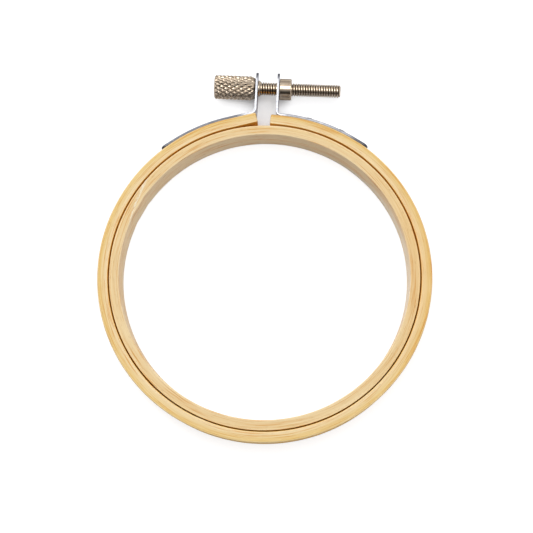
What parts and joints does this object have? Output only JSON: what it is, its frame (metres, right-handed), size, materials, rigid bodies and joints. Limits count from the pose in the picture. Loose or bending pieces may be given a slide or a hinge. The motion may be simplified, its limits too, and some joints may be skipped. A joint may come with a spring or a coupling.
{
  "type": "embroidery hoop",
  "caption": "Round wooden embroidery hoop: an inner ring inside a split outer ring, which a knurled thumb screw through two steel ears draws together.",
  "frame": {"origin": "under the middle of the whole object's box, on the surface that the hoop lies on", "axes": "+Z out of the hoop's front face, +Y from the rings' centre to the clamp, +X to the right seen from the front, where the screw's tip points"},
  "size_m": [0.1, 0.1154, 0.009],
  "materials": {
    "inner_bamboo": "sanded bamboo, unvarnished, with fine grain round the ring",
    "outer_bamboo": "sanded bamboo, unvarnished, yellower towards its outer skin",
    "zinc_plate": "thin zinc plating on pressed steel strip",
    "nickel_plate": "warm, slightly dull nickel plating"
  },
  "bodies": {
    "left_half": {"outer_ring_left": "outer_bamboo", "left_bracket": "zinc_plate", "left_brad_1": "zinc_plate", "left_brad_2": "zinc_plate"},
    "right_half": {"outer_ring_right": "outer_bamboo", "right_bracket": "zinc_plate", "right_brad_1": "zinc_plate", "right_brad_2": "zinc_plate", "clamp_nut": "nickel_plate"},
    "screw": {"thumb_screw": "nickel_plate", "retaining_collar": "nickel_plate"},
    "inner": {"inner_ring": "inner_bamboo"}
  },
  "joints": [
    {"name": "screw_turn", "type": "hinge", "parent": "left_half", "child": "screw", "pos_m": [0.001, 0.05251, 0.0045], "axis": [-0.9988, 0.0489, 0], "range_deg": [-270, 1800]},
    {"name": "hoop_flex", "type": "hinge", "parent": "left_half", "child": "right_half", "pos_m": [0, -0.05609, 0.0045], "axis": [0, 0, -1], "range_deg": [-0.31, 2.1]},
    {"name": "inner_ring_lift", "type": "slide", "parent": "left_half", "child": "inner", "axis": [0, 0, 1], "range_m": [0, 0.02]}
  ],
  "couplings": [
    {"joint": "screw_turn", "follows": "hoop_flex", "ratio": 858.75}
  ]
}
